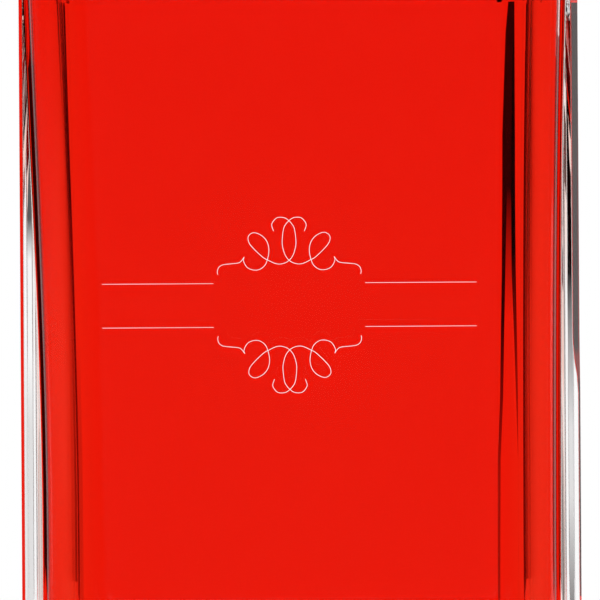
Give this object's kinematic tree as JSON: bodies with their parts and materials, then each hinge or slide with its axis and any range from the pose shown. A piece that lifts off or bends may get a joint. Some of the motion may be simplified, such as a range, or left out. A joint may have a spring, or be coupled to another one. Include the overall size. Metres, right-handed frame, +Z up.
{
  "type": "whiskey decanter",
  "caption": "Square clear glass decanter with an engraved flourish on its front, filled with amber-red whiskey, under a square glass stopper with a ribbed seal.",
  "frame": {"origin": "centre of the base, on the surface that the decanter stands on", "axes": "+Z up along the neck, -Y out of the engraved front, +X to the right of someone who looks at that front"},
  "size_m": [0.09, 0.09, 0.2181],
  "materials": {
    "clear_glass": "clear, thin side walls over a heavy base, polished",
    "stopper_glass": "clear and solid, polished",
    "whiskey": "clear red-orange liquid",
    "seal_plastic": "milky, soft"
  },
  "bodies": {
    "bottle": {"bottle": "clear_glass", "whiskey": "whiskey"},
    "seal": {"stopper_seal": "seal_plastic"},
    "stopper": {"stopper": "stopper_glass"}
  },
  "joints": [
    {"name": "stopper_lift", "type": "slide", "parent": "bottle", "child": "seal", "axis": [0, 0, 1], "range_m": [0, 0.045]},
    {"name": "stopper_turn", "type": "hinge", "parent": "seal", "child": "stopper", "pos_m": [0, 0, 0.177], "axis": [0, 0, 1], "continuous": true}
  ]
}
